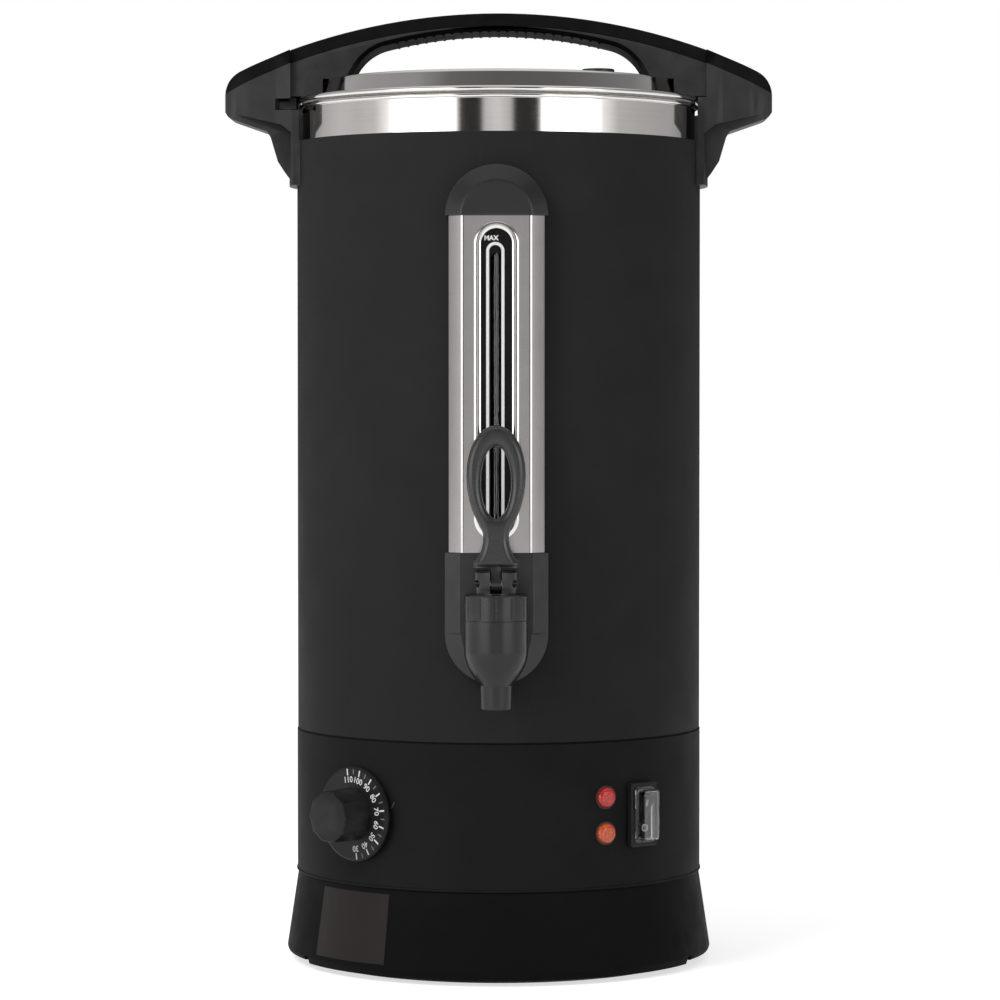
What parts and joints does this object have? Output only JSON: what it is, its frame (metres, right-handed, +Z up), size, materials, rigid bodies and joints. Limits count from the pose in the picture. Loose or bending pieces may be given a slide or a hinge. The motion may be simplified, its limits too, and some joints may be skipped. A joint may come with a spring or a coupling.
{
  "type": "hot water urn",
  "caption": "Cylindrical hot water urn with a black double wall, an arched lid handle, a sight glass tower, a lever tap, a thermostat dial and a covered power switch.",
  "frame": {"origin": "centre of the foot ring on the counter, on the tank's axis", "axes": "+Z up along the tank's axis; the tap and the controls face -Y; +X is to the right seen from the front"},
  "size_m": [0.3044, 0.2906, 0.5261],
  "materials": {
    "black_paint": "matte textured powder coat",
    "black_plastic": "moulded, fine satin",
    "handle_plastic": "moulded, satin",
    "cover_plastic": "moulded, smooth",
    "polished_steel": "polished",
    "brushed_steel": "brushed",
    "zinc_steel": "zinc plated",
    "cast_aluminium": "as cast",
    "copper": "drawn",
    "black_rubber": "matt",
    "silicone": "translucent white",
    "red_lens": "clear red",
    "orange_lens": "clear orange",
    "clear_plastic": "clear, glossy",
    "tube_glass": "clear",
    "window_plastic": "black with a printed line",
    "nylon": "natural",
    "brown_wire": "insulation",
    "blue_wire": "insulation",
    "green_wire": "insulation",
    "white_wire": "insulation"
  },
  "bodies": {
    "root": {"base_skirt": "black_plastic", "base_plate": "zinc_steel", "base_plate_screws": "zinc_steel", "foot_ring": "black_rubber", "control_band": "black_paint", "seam_ring": "black_plastic", "outer_shell": "black_paint", "rim_collar": "polished_steel", "water_tank": "brushed_steel", "heating_plate": "cast_aluminium", "heating_element": "brushed_steel", "heater_clamp": "zinc_steel", "boil_dry_cutout": "black_plastic", "thermostat_body": "zinc_steel", "thermostat_nut": "zinc_steel", "thermostat_bulb": "copper", "power_lamp_lens": "red_lens", "heat_lamp_lens": "orange_lens", "lamp_nuts": "nylon", "switch_housing": "cover_plastic", "switch_cover": "clear_plastic", "cord_gland": "black_plastic", "terminal_block": "nylon", "tower_cover": "brushed_steel", "gauge_window": "window_plastic", "tower_top_cap": "black_plastic", "tower_base": "black_plastic", "sight_tube": "tube_glass", "tube_seals": "silicone", "tower_screws": "zinc_steel", "tap_shank": "brushed_steel", "tap_washers": "silicone", "tap_nut": "zinc_steel", "tap_body": "black_plastic", "tap_bonnet": "black_plastic", "lever_pin": "zinc_steel", "tap_spring": "brushed_steel", "side_handle_right": "handle_plastic", "side_handle_left": "handle_plastic", "side_handle_covers": "cover_plastic", "side_handle_screws": "zinc_steel", "switch_wires": "brown_wire", "heater_wires": "white_wire", "neutral_wire": "blue_wire", "earth_wire": "green_wire", "lamp_wires": "white_wire"},
    "lid_seal": {"lid_seal": "silicone"},
    "lid": {"lid_pan": "polished_steel", "lid_inner_ring": "brushed_steel", "lid_handle": "handle_plastic", "lid_handle_cover": "cover_plastic", "lid_handle_screws": "zinc_steel", "steam_vent_cap": "black_plastic"},
    "lever": {"tap_lever": "black_plastic"},
    "stem": {"tap_stem": "nylon", "seat_cup": "silicone"},
    "knob": {"thermostat_knob": "black_plastic", "dial_skirt": "black_plastic", "thermostat_shaft": "zinc_steel"},
    "rocker": {"switch_rocker": "cover_plastic"}
  },
  "joints": [
    {"name": "lid_lift", "type": "slide", "parent": "root", "child": "lid_seal", "axis": [0, 0, 1], "range_m": [0, 0.06]},
    {"name": "lid_turn", "type": "hinge", "parent": "lid_seal", "child": "lid", "pos_m": [0, 0, 0.4769], "axis": [0, 0, 1], "range_deg": [-8, 0]},
    {"name": "tap_lever", "type": "hinge", "parent": "root", "child": "lever", "pos_m": [0, -0.153, 0.2172], "axis": [1, 0, 0], "range_deg": [0, 30]},
    {"name": "tap_stem", "type": "slide", "parent": "root", "child": "stem", "axis": [0, 0, 1], "range_m": [0, 0.0031], "deforming": ["tap_spring"]},
    {"name": "knob_turn", "type": "hinge", "parent": "root", "child": "knob", "pos_m": [-0.07592, -0.08343, 0.089], "axis": [-0.673, -0.7396, 0], "range_deg": [-105, 165]},
    {"name": "rocker_tilt", "type": "hinge", "parent": "root", "child": "rocker", "pos_m": [0.07777, -0.08369, 0.089], "axis": [0.7325, 0.6807, 0], "range_deg": [-14, 0]}
  ],
  "couplings": [
    {"joint": "tap_stem", "follows": "tap_lever", "m_per_rad": 0.0057296}
  ]
}
